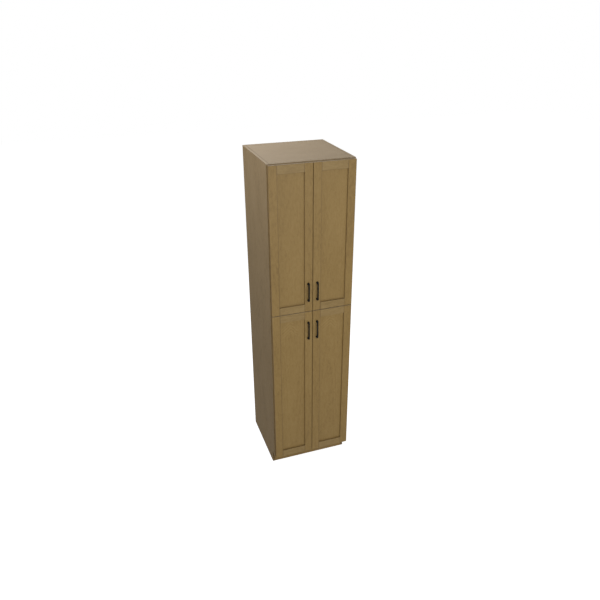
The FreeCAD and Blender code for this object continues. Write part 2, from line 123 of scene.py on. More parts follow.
class Material(Tree):
    """A material's node tree, with its shader."""

    def __init__(self, name):
        self.material = bpy.data.materials.new(name)
        self.material.use_nodes = True
        super().__init__(self.material.node_tree)
        self.shader = self.nodes["Principled BSDF"]

    def shade(self, **inputs):
        """Set or link inputs of the shader, given by name, with underscores for the spaces."""
        for key, value in inputs.items():
            self.put(self.shader.inputs[key.replace("_", " ")], value)

    def scaled(self, vector, factors):
        made = self.nodes.new("ShaderNodeVectorMath")
        made.operation = "MULTIPLY"
        self.put(made.inputs[0], vector)
        self.put(made.inputs[1], factors)
        return made.outputs[0]

    def parts(self, vector):
        """The X, Y and Z of a vector."""
        return self.node("ShaderNodeSeparateXYZ", Vector=vector).outputs

    def noise(self, vector, scale, detail, roughness=0.5, distortion=0.0):
        return self.node(
            "ShaderNodeTexNoise", Vector=vector, Scale=scale, Detail=detail,
            Roughness=roughness, Distortion=distortion,
        ).outputs["Fac"]

    def streaks(self, vector, factors, detail, roughness=0.5, distortion=0.0):
        """Noise with its own scale, in waves to a metre, along each axis of a vector."""
        return self.noise(self.scaled(vector, factors), 1.0, detail, roughness, distortion)

    def spread(self, value, low, high, to_low=0.0, to_high=1.0):
        """Map a value from one range to another, and hold it there."""
        return self.node(
            "ShaderNodeMapRange", Value=value, From_Min=low, From_Max=high,
            To_Min=to_low, To_Max=to_high,
        ).outputs["Result"]

    def mix(self, factor, first, second):
        made = self.nodes.new("ShaderNodeMix")
        made.data_type = "RGBA"
        self.put(made.inputs["Factor"], factor)
        self.put(made.inputs["A"], first)
        self.put(made.inputs["B"], second)
        return made.outputs["Result"]

    def bump(self, height, strength, distance):
        made = self.node("ShaderNodeBump", Strength=strength, Distance=distance, Height=height)
        self.shade(Normal=made.outputs["Normal"])

    def attribute(self, name, output):
        made = self.nodes.new("ShaderNodeAttribute")
        made.attribute_name = name
        return made.outputs[output]

    def object_point(self):
        """The point of the surface in the piece's own frame, in metres: it rides with the piece."""
        return self.nodes.new("ShaderNodeTexCoord").outputs["Object"]


# Materials

# Noises in the wood, in waves to a metre across, through and along the grain
SWAY_WAVES, BREAK_WAVES, WANDER_WAVES = (22.0, 22.0, 22.0), (420.0, 420.0, 40.0), (3.0, 3.0, 1.1)
FIBRE_WAVES, PORE_WAVES = (620.0, 620.0, 13.0), (1500.0, 1500.0, 70.0)
BLOTCH_WAVES, CLOUD_WAVES = (70.0, 70.0, 30.0), (8.0, 8.0, 2.6)
RUB_WAVES, SHADE_BREAK_WAVES = (90.0, 90.0, 30.0), (160.0, 160.0, 60.0)


def linear(red, green, blue):
    """The linear colour that a shader takes, from one written as it looks on a screen, 0 to 255."""
    def channel(value):
        share = value / 255
        return share / 12.92 if share <= 0.04045 else ((share + 0.055) / 1.055) ** 2.4
    return (channel(red), channel(green), channel(blue), 1.0)


def crown_figure(tree):
    """Pale nested crowns, where flat-sliced veneer cuts the rings, about the place crown gives."""
    sway_reach, fall, waves, strength = 0.03, 0.8, 250.0, 1.35
    place = tree.attribute("crown", "Vector")
    apart = tree.parts(place)
    sway = tree.times(tree.streaks(place, SWAY_WAVES, 3.0), sway_reach)
    across = tree.plus(apart["X"], tree.minus(sway, sway_reach / 2))
    across = tree.math("ABSOLUTE", across)
    drop = tree.plus(apart["Z"], tree.times(across, fall))
    wave = tree.math("SINE", tree.times(tree.plus(drop, sway), waves))
    broken = tree.spread(tree.streaks(place, BREAK_WAVES, 3.0), 0.25, 0.6)
    band = tree.times(tree.spread(wave, -0.1, 1.0), broken)

    # It fades to both sides of the tip, far below the tip, and above it
    to_sides = tree.spread(across, 0.02, 0.075, 1.0, 0.0)
    below = tree.spread(drop, -0.085, -0.02)
    above = tree.spread(drop, 0.004, 0.02, 1.0, 0.0)
    near = tree.times(tree.times(to_sides, below), above)
    return tree.times(tree.times(band, near), strength)


def growth_rings(tree, grain):
    """Rings about a pith that wanders and leans away from the board."""
    wander_reach, lean_rate, lean_reach, rings_to_metre = 0.045, 0.035, 0.11, 150.0
    wander = tree.streaks(grain, WANDER_WAVES, 2.0)
    place = tree.parts(grain)
    across = tree.plus(place["X"], tree.times(wander, wander_reach))
    lean = tree.math("PINGPONG", tree.times(place["Z"], lean_rate), lean_reach)
    through = tree.plus(place["Y"], lean)
    squares = tree.plus(tree.times(across, across), tree.times(through, through))
    radius = tree.math("SQRT", squares)
    rings = tree.node("ShaderNodeTexNoise", Scale=1.0, Detail=3.0)
    rings.noise_dimensions = "1D"
    tree.put(rings.inputs["W"], tree.times(radius, rings_to_metre))
    return tree.spread(rings.outputs["Fac"], 0.3, 0.7)


def wood(name, dark, middle, light, worn, deep, roughness, specular, figure):
    """Stained wood. The grain attribute holds a board's across, through and along, in metres."""
    fibre_share, blotch_share, cloud_share, pore_share, wear_share = 0.4, 0.4, 0.2, 0.22, 0.55
    tree = Material(name)
    grain = tree.attribute("grain", "Vector")

    # Fibres, pores, and the blotches that stain leaves in a close-grained wood
    fibre = tree.streaks(grain, FIBRE_WAVES, 4.0, 0.6)
    pore = tree.spread(tree.streaks(grain, PORE_WAVES, 2.0), 0.6, 0.72)
    blotch = tree.spread(tree.streaks(grain, BLOTCH_WAVES, 4.0, 0.62, 0.6), 0.3, 0.7)
    cloud = tree.spread(tree.streaks(grain, CLOUD_WAVES, 2.0), 0.3, 0.7)

    share = tree.times(growth_rings(tree, grain), figure)
    for part, amount in ((fibre, fibre_share), (blotch, blotch_share), (cloud, cloud_share)):
        share = tree.plus(share, tree.times(part, amount))
    share = tree.plus(share, tree.attribute("tone", "Fac"))
    share = tree.plus(share, crown_figure(tree))
    share = tree.minus(share, 0.5 * figure)
    colour = tree.mix(tree.spread(share, 0.2, 0.5), dark, middle)
    colour = tree.mix(tree.spread(share, 0.5, 0.85), colour, light)
    colour = tree.mix(tree.times(pore, pore_share), colour, dark)

    # Edges, where handling thins the stain in patches
    rubbed = tree.spread(tree.streaks(grain, RUB_WAVES, 3.0), 0.4, 0.65)
    wear = tree.times(tree.attribute("wear", "Fac"), tree.times(rubbed, wear_share))
    colour = tree.mix(wear, colour, worn)

    # Painted shade in the recesses, gaps, corners and seams and along the frames' inner edges, with
    # the rails' dark joints, in the deep colour, broken up by noise
    shade_and_joints = tree.math(
        "MAXIMUM", tree.attribute("painted_shade", "Fac"), tree.attribute("painted_shade_and_joints", "Fac")
    )
    uneven = tree.spread(tree.streaks(grain, SHADE_BREAK_WAVES, 3.0), 0.3, 0.7, 0.7, 0.95)
    colour = tree.mix(tree.times(shade_and_joints, uneven), colour, deep)

    fibre_gloss, blotch_gloss = 0.12, 0.05
    gloss = tree.plus(tree.times(fibre, fibre_gloss), roughness - fibre_gloss / 2)
    gloss = tree.plus(gloss, tree.times(blotch, blotch_gloss))
    tree.shade(Base_Color=colour, Roughness=gloss, Specular_IOR_Level=specular)
    tree.bump(tree.minus(tree.times(fibre, 0.6), tree.times(pore, 0.5)), 0.25, 0.3 * MM)
    return tree.material


def black_finish():
    """Matte black powder coat: a fine orange-peel skin, greyer where hands polish it."""
    tree = Material("matte_black")
    point = tree.object_point()
    rub = tree.spread(tree.noise(point, 60.0, 3.0), 0.45, 0.7)
    tree.shade(
        Base_Color=tree.mix(rub, linear(9, 8, 7), linear(15, 14, 12)),
        Roughness=tree.spread(rub, 0.0, 1.0, 0.66, 0.56),
        Specular_IOR_Level=0.12,
    )
    tree.bump(tree.noise(point, 1600.0, 2.0), 0.2, 0.08 * MM)
    return tree.material


def plated_finish(name, shade, roughness):
    """Nickel plate over pressed steel: drawn streaks and a faint cloudiness."""
    tree = Material(name)
    point = tree.object_point()
    streak = tree.noise(tree.scaled(point, (1.0, 1.0, 0.06)), 2600.0, 2.0)
    cloud = tree.spread(tree.noise(point, 140.0, 3.0), 0.35, 0.7)
    clean = (shade, shade * 0.99, shade * 0.96, 1.0)
    dull = (shade * 0.82, shade * 0.81, shade * 0.79, 1.0)
    tree.shade(
        Base_Color=tree.mix(cloud, clean, dull),
        Metallic=1.0,
        Roughness=tree.spread(streak, 0.3, 0.7, roughness, roughness + 0.12),
    )
    tree.bump(streak, 0.12, 0.04 * MM)
    return tree.material


def bumper_finish():
    """Soft clear plastic, a little milky, with dust in it."""
    tree = Material("soft_clear_plastic")
    dust = tree.spread(tree.noise(tree.object_point(), 900.0, 3.0), 0.5, 0.75)
    tree.shade(
        Base_Color=tree.mix(dust, linear(214, 213, 206), linear(188, 184, 172)),
        Roughness=tree.spread(dust, 0.0, 1.0, 0.24, 0.5),
        Subsurface_Weight=0.25,
        Subsurface_Radius=(2 * MM, 2 * MM, 2 * MM),
    )
    return tree.material


# The deep colour is the dark one for painted shade and for dark joints
def palette(dark, middle, light, worn=(160, 135, 88), deep=(80, 60, 32)):
    """The colours of a finished wood as they look on a screen, by the names that wood() takes."""
    return {
        "dark": linear(*dark), "middle": linear(*middle), "light": linear(*light),
        "worn": linear(*worn), "deep": linear(*deep),
    }


STAIN = palette((122, 96, 48), (137, 110, 59), (147, 120, 69))
RAIL = palette((127, 103, 59), (141, 116, 70), (150, 126, 80))
# The door's stain made darker: painted shade for the doors' side edges
SHADED_EDGE = palette((114, 90, 53), (124, 99, 61), (132, 107, 69))
VENEER = palette((120, 98, 63), (134, 111, 73), (143, 120, 82), (154, 132, 98), (80, 64, 43))
# A greyer, lighter copy of the veneer: a painted sheen on the surfaces that face up
TOP_WITH_SHEEN = palette((126, 108, 81), (137, 119, 91), (144, 126, 98), (150, 132, 103), (84, 68, 47))
MAPLE = palette((190, 160, 120), (209, 182, 142), (221, 198, 161), (228, 208, 176), (150, 118, 80))
SATIN = {"roughness": 0.48, "specular": 0.35, "figure": 0.12}
MATT = {"roughness": 0.62, "specular": 0.06, "figure": 0.12}
FINISH = {
    "door_wood": wood("stained_maple_door", **STAIN, **SATIN),
    "rail_wood": wood("stained_maple_rail", **RAIL, **SATIN),
    # A darker copy of the door's stain, as painted shade on the doors' side edges
    "edge_wood": wood("stained_maple_edge_painted_shade", **SHADED_EDGE, **MATT),
    "frame_wood": wood("stained_maple_frame", **STAIN, roughness=0.5, specular=0.35, figure=0.1),
    "case_wood": wood("stained_veneer_case", **VENEER, **MATT),
    # The top's colour with its painted sheen, for the surfaces that face up
    "top_wood": wood("stained_veneer_top_painted_sheen", **TOP_WITH_SHEEN, roughness=0.55, specular=0.12, figure=0.12),
    "inside_wood": wood("clear_maple_inside", **MAPLE, roughness=0.42, specular=0.4, figure=0.16),
    "handle": black_finish(),
    "hinge_metal": plated_finish("nickel_plate", 0.62, 0.26),
    "pin_metal": plated_finish("nickel_pin", 0.6, 0.3),
    "bumper": bumper_finish(),
}


# Meshes

SAME_PLACE = 2e-6


def finish_piece(mesh, name, node_or_body, slot, materials):
    """Put a mesh in the scene as a piece that rides on a CAD body."""
    piece = bpy.data.objects.new(name, mesh)
    bpy.context.scene.collection.objects.link(piece)
    for material in materials:
        mesh.materials.append(material)
    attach(piece, BODY_OF.get(node_or_body, node_or_body))
    return piece


def solid_of(mesh):
    """A mesh opened for changes, with its split corners joined."""
    solid = bmesh.new()
    solid.from_mesh(mesh)
    bmesh.ops.remove_doubles(solid, verts=solid.verts[:], dist=SAME_PLACE)
    return solid


def mesh_of(solid, name):
    """A finished mesh, made from one opened for changes."""
    mesh = bpy.data.meshes.new(name)
    solid.to_mesh(mesh)
    solid.free()
    return mesh


def flatten(solid):
    """Make the flat faces of a CAD mesh whole again."""
    bmesh.ops.dissolve_limit(
        solid, angle_limit=math.radians(0.4), verts=solid.verts[:], edges=solid.edges[:]
    )


def smooth(mesh, angle=35):
    """Shade a mesh smooth except at edges sharper than the angle."""
    mesh.shade_smooth()
    mesh.set_sharp_from_angle(angle=math.radians(angle))


def circle(sides):
    """The cosine and sine of each step round a circle."""
    angles = [2 * math.pi * step / sides for step in range(sides)]
    return [(math.cos(angle), math.sin(angle)) for angle in angles]


def bridge(solid, loops):
    """Join each closed loop of corners to the next with a band of faces."""
    for first, second in zip(loops, loops[1:]):
        for step in range(len(first)):
            following = (step + 1) % len(first)
            solid.faces.new((first[step], first[following], second[following], second[step]))


def anywhere(_):
    """Pick every edge."""
    return True


def ease(solid, width, chosen=anywhere):
    """Round the long sharp outer edges that chosen picks, and give back the new faces."""
    shortest, bluntest = 6 * MM, math.radians(50)
    edges = []
    for edge in solid.edges:
        if len(edge.link_faces) == 2 and edge.calc_length() > shortest:
            if edge.calc_face_angle(0.0) > bluntest and edge.is_convex:
                if chosen((edge.verts[0].co + edge.verts[1].co) / 2):
                    edges.append(edge)
    made = bmesh.ops.bevel(
        solid, geom=edges, offset=width, offset_type="OFFSET", segments=2,
        profile=0.5, affect="EDGES", clamp_overlap=True, material=-1,
    )
    return made["faces"]


def bored(mesh, holes, radius, depth):
    """The mesh with blind holes, each given by its mouth and the way that it runs in."""
    proud = 1 * MM
    drills = bmesh.new()
    for mouth, inward in holes:
        turn = inward.to_track_quat("Z", "Y").to_matrix().to_4x4()
        bmesh.ops.create_cone(
            drills, cap_ends=True, segments=20, radius1=radius, radius2=radius,
            depth=depth + proud,
            matrix=Matrix.Translation(mouth + inward * (depth - proud) / 2) @ turn,
        )
    drill = bpy.data.objects.new("drills", mesh_of(drills, "drills"))
    block = bpy.data.objects.new("block", mesh.copy())
    for piece in (drill, block):
        bpy.context.scene.collection.objects.link(piece)
    cut = block.modifiers.new("holes", "BOOLEAN")
    cut.operation = "DIFFERENCE"
    cut.solver = "EXACT"
    cut.object = drill
    seen = bpy.context.evaluated_depsgraph_get()
    result = bpy.data.meshes.new_from_object(block.evaluated_get(seen))
    for piece in (drill, block):
        bpy.data.objects.remove(piece)
    return result


# Boards

NO_CROWN = [9.0, 9.0, 9.0]


def write_faces(mesh, name, values):
    """Write one number for each face of a mesh."""
    mesh.attributes.new(name, "FLOAT", "FACE").data.foreach_set("value", values)


def write_points(mesh, name, vectors):
    """Write three numbers for each corner of a mesh, given as one long list."""
    mesh.attributes.new(name, "FLOAT_VECTOR", "POINT").data.foreach_set("vector", vectors)


def write_grain(mesh, along, through, tone, crown):
    """Give a board its grain directions, its own tone, and the place of its crown, if any."""
    across = next(axis for axis in range(3) if axis not in (along, through))
    pith = (random.uniform(-0.03, 0.03), random.uniform(0.03, 0.06), random.uniform(0.0, 40.0))
    centre = [0.0, 0.0, 0.0]
    for axis in range(3):
        places = [vertex.co[axis] for vertex in mesh.vertices]
        centre[axis] = (min(places) + max(places)) / 2
    grain, crowns = [], []
    for vertex in mesh.vertices:
        local = [vertex.co[axis] - centre[axis] for axis in range(3)]
        grain += [local[across] + pith[0], local[through] + pith[1], local[along] + pith[2]]
        crowns += NO_CROWN if crown is None else list(vertex.co - crown)
    write_points(mesh, "grain", grain)
    write_points(mesh, "crown", crowns)
    write_faces(mesh, "tone", [tone + random.uniform(-0.04, 0.04)] * len(mesh.polygons))


def nothing(*_):
    """No stain, wherever it is asked for."""
    return 0.0


def place_key(point):
    """A point rounded to a thousandth of a millimetre, to find the same place again."""
    return tuple(round(axis, 6) for axis in point)


def settle(solid):
    """Put the corners, edges and faces in the order of their places, the same in each run."""
    for held, place in (
        (solid.verts, lambda vertex: vertex.co),
        (solid.edges, lambda edge: (edge.verts[0].co + edge.verts[1].co) / 2),
        (solid.faces, lambda face: face.calc_center_median()),
    ):
        ranked = sorted(held, key=lambda item: place_key(place(item)))
        rank = {item: number for number, item in enumerate(ranked)}
        held.sort(key=rank.get)


def board(
    node, along, through, rim, fine=0.0, outer=anywhere, source=None, tone=0.0, wear=1.0,
    finish=None, painted_shade=nothing, lines=(), painted_shade_and_joints=nothing, crown=None,
):
    """A CAD board with eased edges and its own grain, which stands for the CAD node.

    outer picks the edges of the rim, and the others are eased by fine. finish gives a face's
    material slot. Two further functions give painted shade: how dark each face is, and how
    dark each point is, which also draws dark joints; lines are the planes that the flat faces
    are divided along for it.
    """
    solid = solid_of(source or NODES[node].data)
    flatten(solid)
    worn = set(ease(solid, rim, outer))
    if fine:
        ease(solid, fine)
    worn = {place_key(face.calc_center_median()) for face in worn if face.is_valid}
    slot = SLOT_OF[node]
    slots = [slot]
    soaked, rubbed = [], []
    for point, normal in lines:
        everything = solid.verts[:] + solid.edges[:] + solid.faces[:]
        bmesh.ops.bisect_plane(solid, geom=everything, plane_co=point, plane_no=normal)
    settle(solid)
    for face in solid.faces:
        centre = face.calc_center_median()
        chosen = finish(centre, face.normal) if finish else slot
        if chosen not in slots:
            slots.append(chosen)
        face.material_index = slots.index(chosen)
        face.smooth = False
        soaked.append(painted_shade(centre, face.normal))
        rubbed.append(wear if place_key(centre) in worn else 0.0)
    mesh = mesh_of(solid, f"{node}_board")
    write_grain(mesh, along, through, tone, crown)
    write_faces(mesh, "painted_shade", soaked)
    write_faces(mesh, "wear", rubbed)
    mesh.attributes.new("painted_shade_and_joints", "FLOAT", "POINT").data.foreach_set(
        "value", [painted_shade_and_joints(vertex.co) for vertex in mesh.vertices]
    )
    piece = finish_piece(mesh, f"{node}_board", node, slot, [FINISH[key] for key in slots])
    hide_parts(node)


def fading(distance, reach, strength=1.0):
    """Strength at no distance, and nothing from reach on."""
    return strength * min(1.0, max(0.0, 1.0 - distance / reach))


def upright(x):
    """The plane across the cabinet at x, as a point and a normal."""
    return (Vector((x, 0, 0)), UNIT[X])


def level(z):
    """The level plane at z, as a point and a normal."""
    return (Vector((0, 0, z)), UNIT[Z])


# Doors

RIM_ROUND, RIM_REACH, FINE_ROUND, PANEL_ROUND = 1.5 * MM, 1.6 * MM, 0.35 * MM, 0.3 * MM
# Painted shade on the doors: on the rim's rounded corners, on the ledges under the panels that face
# up, and on the fine edges
CORNER_SHADE, LEDGE_SHADE, FINE_EDGE_SHADE = 0.2, 0.6, 0.5

# The lines of painted shade along the panels' edges, darker at their left where the shade falls,
# and the rails' dark joints: how far each reaches, and how dark it is at its start
STILE_LINE, STILE_WEST, STILE_EAST = 3 * MM, 0.9, 0.35
RAIL_LINE, RAIL_JOINT = 5 * MM, 0.95
PANEL_LINE, PANEL_WEST, PANEL_EAST, PANEL_TOP = 6 * MM, 0.5, 0.1, 0.9
FOOT_LINE, PANEL_FOOT = 20 * MM, 0.4
CROWNS = {
    "lower_left_door": Vector((-0.166, 0, 1.287)),
    "lower_right_door": Vector((0.138, 0, 1.296)),
}


def door_boards(door):
    """The door's frame, with painted shade on its edges and ledges and dark joints, and its panel,
    with painted shade along the frame.
    """
    low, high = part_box(f"{door}_hinge_stile")
    other_low, other_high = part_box(f"{door}_meeting_stile")
    west, east = min(low.x, other_low.x), max(high.x, other_high.x)
    bottom, top = low.z, high.z
    width = high.x - low.x
    sight_west, sight_east = west + width, east - width
    sight_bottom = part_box(f"{door}_bottom_rail")[1].z
    sight_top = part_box(f"{door}_top_rail")[0].z

    def from_rim(point):
        return min(point.x - west, east - point.x, point.z - bottom, top - point.z)

    def on_rim(point):
        return from_rim(point) < 0.1 * MM

    def painted_shade(point, normal):
        """Painted shade: little at the rim's corners, much on the ledge under the panel and on fine
        edges.
        """
        if from_rim(point) < RIM_REACH:
            return 0.0 if abs(normal.y) > 0.95 or abs(normal.x) > 0.9 else CORNER_SHADE
        if abs(normal.y) < 0.5:
            return LEDGE_SHADE if normal.z > 0.5 else 0.0
        return FINE_EDGE_SHADE if abs(normal.y) < 0.95 else 0.0

    def from_inner_edge(point):
        """A line of painted shade on the stiles along the panel, stronger at its left."""
        return max(
            fading(abs(point.x - sight_west), STILE_LINE, STILE_WEST),
            fading(abs(point.x - sight_east), STILE_LINE, STILE_EAST),
        )

    def from_shoulder(point):
        """The line on the rails at their joints, which ends at the door's rim."""
        inside = min(1.0, from_rim(point) / (2 * MM))
        from_joint = min(point.x - sight_west, sight_east - point.x)
        return inside * fading(from_joint, RAIL_LINE, RAIL_JOINT)

    def from_frame(point):
        """The lines of painted shade on the panel along the frame, widest above the bottom rail."""
        return max(
            fading(point.x - sight_west, PANEL_LINE, PANEL_WEST),
            fading(sight_east - point.x, PANEL_LINE, PANEL_EAST),
            fading(sight_top - point.z, PANEL_LINE, PANEL_TOP),
            fading(point.z - sight_bottom, FOOT_LINE, PANEL_FOOT),
        )

    def edged(slot):
        """The finish of a piece of the frame, with the top's colour and its painted sheen on the
        door's top edge, and a darker copy as painted shade on its side edges.
        """
        def finish(point, normal):
            if normal.z > 0.2 and top - point.z < RIM_REACH:
                return "top_wood"
            return "edge_wood" if abs(normal.x) > 0.9 and from_rim(point) < RIM_REACH else slot
        return finish

    margins = [upright(sight_west - STILE_LINE), upright(sight_east + STILE_LINE)]
    shoulders = [upright(sight_west + RAIL_LINE), upright(sight_east - RAIL_LINE)]
    for parts, along, slot, lines, painted_shade_and_joints in (
        (("hinge_stile", "meeting_stile"), Z, "door_wood", margins, from_inner_edge),
        (("top_rail", "bottom_rail"), X, "rail_wood", shoulders, from_shoulder),
    ):
        for part in parts:
            board(
                f"{door}_{part}", along, Y, RIM_ROUND, FINE_ROUND, outer=on_rim, wear=0.0,
                painted_shade=painted_shade, finish=edged(slot), lines=lines, painted_shade_and_joints=painted_shade_and_joints,
            )
    lines = []
    for inset, rise in ((0.0, 0.0), (PANEL_LINE, FOOT_LINE)):
        lines += [
            upright(sight_west + inset), upright(sight_east - inset),
            level(sight_bottom + rise), level(sight_top - inset),
        ]
    board(
        f"{door}_panel", Z, Y, PANEL_ROUND, lines=lines, painted_shade_and_joints=from_frame, wear=0.0, tone=0.1,
        crown=CROWNS.get(door),
    )


for door in DOORS:
    door_boards(door)


# Case and frame

SHELVES = ("adjustable_shelf_1", "adjustable_shelf_2", "adjustable_shelf_3")
HOLE_RADIUS, HOLE_DEPTH, HOLE_PITCH, HOLE_INSET = 2.5 * MM, 9.5 * MM, 32 * MM, 50 * MM
CASE_ROUND, SHELF_ROUND, TOE_ROUND, BACK_ROUND = 0.9 * MM, 0.8 * MM, 0.6 * MM, 0.4 * MM
FRAME_STILE_ROUND, FRAME_RAIL_ROUND = 0.8 * MM, 0.5 * MM
# Painted shade along the top's seams with the sides, on the sides at the seam and the foot, on the
# sides' front edges, and on the frame's corners
SEAM_LINE, SEAM_SHADE, SEAM_AND_FOOT_SHADE, FRONT_SHADE, FRAME_SHADE = 5 * MM, 0.9, 0.8, 0.35, 0.2
TOP_OF_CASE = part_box("left_side_panel")[1].z
TOP_OF_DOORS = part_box("upper_left_door_hinge_stile")[1].z
OUTER_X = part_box("left_frame_stile")[0].x


def spare_holes(inner_x, outward):
    """Two more holes above each pin that holds a shelf, and two below it."""
    holes = []
    for shelf in SHELVES:
        low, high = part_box(shelf)
        for y in (low.y + HOLE_INSET, high.y - HOLE_INSET):
            for steps in (-2, -1, 1, 2):
                height = low.z - HOLE_RADIUS + steps * HOLE_PITCH
                holes.append((Vector((inner_x, y, height)), Vector((outward, 0, 0))))
    return holes


def case_side(node, outward):
    """A side panel: stained outside, clear inside, with solid edges and rows of pin holes."""
    low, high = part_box(node)
    inner_x = low.x if outward > 0 else high.x

    def finish(point, normal):
        if normal.x * outward < -0.9:
            return "inside_wood"
        # The top edge takes the top's colour, with its painted sheen
        on_top = normal.z > 0.3 and point.z > TOP_OF_CASE - 1 * MM
        return "top_wood" if on_top else "case_wood"

    def painted_shade(point, normal):
        """Painted shade, much at the seam with the top and at the foot by the floor, and some at
        the front.
        """
        at_seam = point.z > TOP_OF_CASE - 1 * MM and normal.x * outward < -0.1
        if at_seam or normal.z < -0.9 or point.z < 1 * MM:
            return SEAM_AND_FOOT_SHADE
        return FRONT_SHADE if normal.y < -0.3 else 0.0

    source = bored(NODES[node].data, spare_holes(inner_x, outward), HOLE_RADIUS, HOLE_DEPTH)
    board(node, Z, X, CASE_ROUND, source=source, finish=finish, painted_shade=painted_shade, wear=0.0)


def frame_shade(point, normal):
    """Painted shade on the frame's corners, by the gaps at the doors."""
    return FRAME_SHADE if 0.2 < abs(normal.x) < 0.98 else 0.0


def frame_finish(point, normal):
    """The frame's outer sides carry on the case's, and what stands above the doors takes the top's
    colour, with its painted sheen.
    """
    if point.z > TOP_OF_DOORS:
        return "top_wood"
    return "case_wood" if abs(point.x) > abs(OUTER_X) - 1 * MM else "frame_wood"


case_side("left_side_panel", -1)
case_side("right_side_panel", 1)
seam_west, seam_east = (corner.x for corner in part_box("top_panel"))
# The top: its colour with the painted sheen, and painted shade on its bevels and in a line along
# its seams with the sides
board(
    "top_panel", X, Z, CASE_ROUND, wear=0.0,
    finish=lambda point, normal: "inside_wood" if normal.z < -0.9 else "top_wood",
    painted_shade=lambda point, normal: SEAM_SHADE if 0.1 < normal.z < 0.98 else 0.0,
    lines=[upright(seam_west + SEAM_LINE), upright(seam_east - SEAM_LINE)],
    painted_shade_and_joints=lambda point: fading(min(point.x - seam_west, seam_east - point.x), SEAM_LINE),
)
for node in ("bottom_panel", "fixed_middle_shelf", *SHELVES):
    board(node, X, Z, SHELF_ROUND)
# The back's top edge takes the top's colour, with its painted sheen
board(
    "back_panel", Z, Y, BACK_ROUND, wear=0.0,
    finish=lambda point, normal: "top_wood" if normal.z > 0.3 else SLOT_OF["back_panel"],
)
board("toe_board", X, Y, TOE_ROUND)
for node in ("upper_hanging_rail", "middle_hanging_rail"):
    board(node, X, Y, SHELF_ROUND)
framed = {"painted_shade": frame_shade, "finish": frame_finish, "lines": [level(TOP_OF_DOORS)]}
for node in ("left_frame_stile", "right_frame_stile"):
    board(node, Z, Y, FRAME_STILE_ROUND, wear=0.0, **framed)
for node in ("frame_top_rail", "frame_middle_rail", "frame_bottom_rail"):
    board(node, X, Y, FRAME_RAIL_ROUND, wear=0.2, **framed)


# Handles

# All in millimetres: out from the door's face, up from the handle's middle, and radii
FEET_APART = 128.0
BEND_OUT, BEND_UP, BEND_RADIUS, BEND_STEPS = 9.7, 55.0, 9.0, 14
POST_RADIUS, SLIMMER = 8.0, 2.7
BAR_OUT, BAR_RADIUS, BAR_UP = 18.7, 5.3, (46.0, 34.0, 17.0, 0.0)
POST = [(0.0, 8.1), (0.25, 8.35), (0.7, 8.45), (3.0, 8.4), (5.0, 8.35), (7.0, 8.25), (9.2, 8.0)]


def swept_tube(name, path, radii):
    """A closed round tube along a path in the YZ plane, with a radius for each point."""
    tube = bmesh.new()
    loops = []
    for index, point in enumerate(path):
        before = path[max(index - 1, 0)]
        after = path[min(index + 1, len(path) - 1)]
        side = UNIT[X]
        up = (after - before).normalized().cross(side)
        loops.append([
            tube.verts.new(point + (side * aside + up * above) * radii[index])
            for aside, above in circle(32)
        ])
    bridge(tube, loops)
    tube.faces.new(loops[0][::-1])
    tube.faces.new(loops[-1])
    bmesh.ops.recalc_face_normals(tube, faces=tube.faces[:])
    mesh = mesh_of(tube, name)
    smooth(mesh)
    return mesh


def handle_profile():
    """The pull's upper half: its centre line, out and up from the middle, with the radii."""
    line = [((out, FEET_APART / 2), radius) for out, radius in POST]
    for step in range(1, BEND_STEPS + 1):
        turned = step / BEND_STEPS
        angle = math.pi / 2 * turned
        radius = POST_RADIUS - SLIMMER * (3 * turned ** 2 - 2 * turned ** 3)
        out = BEND_OUT + BEND_RADIUS * math.sin(angle)
        line.append(((out, BEND_UP + BEND_RADIUS * math.cos(angle)), radius))
    return line + [((BAR_OUT, up), BAR_RADIUS) for up in BAR_UP]


def pull(door):
    """The door's arched pull on its two round feet. Gives back the middle of its foot line."""
    node = f"{door}_handle"
    low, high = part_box(node)
    middle = Vector(((low.x + high.x) / 2, high.y, (low.z + high.z) / 2))
    upper = handle_profile()
    lower = [((out, -up), radius) for (out, up), radius in reversed(upper[:-1])]
    path = [middle + Vector((0, -out, up)) * MM for (out, up), _ in upper + lower]
    radii = [radius * MM for _, radius in upper + lower]
    mesh = swept_tube(f"{door}_pull", path, radii)
    piece = finish_piece(mesh, f"{door}_pull", node, "handle", [FINISH["handle"]])
    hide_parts(node)
    return middle


handle_places = {door: pull(door) for door in DOORS}


# Hinges, shelf pins and bumpers

PRESSED_ROUND = 0.3 * MM
DOME = (
    (0.9, 0.0), (1.0, 0.12), (1.0, 0.34), (0.96, 0.56), (0.84, 0.78), (0.62, 0.93), (0.32, 0.99),
)


def pressed(node):
    """The metal pieces with the soft edges of pressed steel."""
    solid = solid_of(NODES[node].data)
    flatten(solid)
    ease(solid, PRESSED_ROUND)
    mesh = mesh_of(solid, f"{node}_pressed")
    smooth(mesh, 30)
    piece = finish_piece(mesh, f"{node}_pressed", node, SLOT_OF[node], [FINISH[SLOT_OF[node]]])
    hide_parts(node)


def solids_of(node):
    """The lowest and highest corner of each separate solid of a node, in order of place."""
    held = solid_of(NODES[node].data)
    waiting, found = set(held.verts), []
    while waiting:
        start = waiting.pop()
        reached, fresh = [start], [start]
        while fresh:
            for edge in fresh.pop().link_edges:
                for vertex in edge.verts:
                    if vertex in waiting:
                        waiting.remove(vertex)
                        reached.append(vertex)
                        fresh.append(vertex)
        found.append([
            Vector([pick(vertex.co[axis] for vertex in reached) for axis in range(3)])
            for pick in (min, max)
        ])
    held.free()
    return sorted(found, key=lambda corners: tuple(corners[0]))


